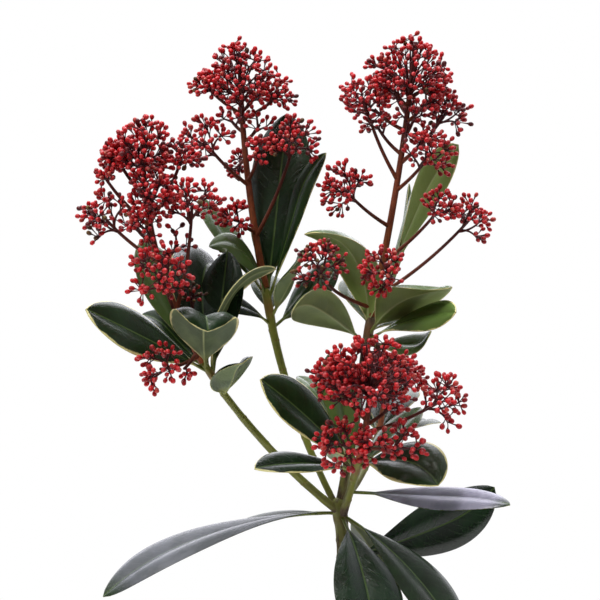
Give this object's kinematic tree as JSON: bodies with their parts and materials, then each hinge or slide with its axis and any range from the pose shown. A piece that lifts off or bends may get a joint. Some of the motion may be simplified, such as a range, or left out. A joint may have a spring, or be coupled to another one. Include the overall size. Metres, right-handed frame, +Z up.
{
  "type": "potted skimmia",
  "caption": "Small evergreen skimmia in a plain round clay pot, with forked shoots, tufts of leathery leaves and branching heads of red flower buds.",
  "frame": {"origin": "centre of the pot's flat underside, on the ground", "axes": "+Z up along the pot's axis, +X to the right and +Y to the back as the picture sees the plant"},
  "size_m": [0.213, 0.1887, 0.4392],
  "materials": {
    "pot": "matt",
    "compost": "rough",
    "bark": "satin",
    "leaf": "satin",
    "bud": "satin"
  },
  "bodies": {
    "root": {"pot": "pot", "compost": "compost", "trunk": "bark", "shoot_right": "bark", "shoot_left": "bark", "shoot_front": "bark", "shoot_middle": "bark", "shoot_back": "bark", "leaves_fork": "leaf", "leaves_trunk": "leaf", "leaf_front_shoot": "leaf", "leaf_trunk": "leaf", "leaves_right_shoot": "leaf", "leaves_left_shoot": "leaf", "leaves_front_shoot": "leaf", "leaves_middle_shoot": "leaf", "leaves_back_shoot": "leaf", "flowers_right": "bud", "flowers_left": "bud", "flowers_front": "bud", "flowers_middle": "bud", "flowers_back": "bud"}
  },
  "joints": []
}
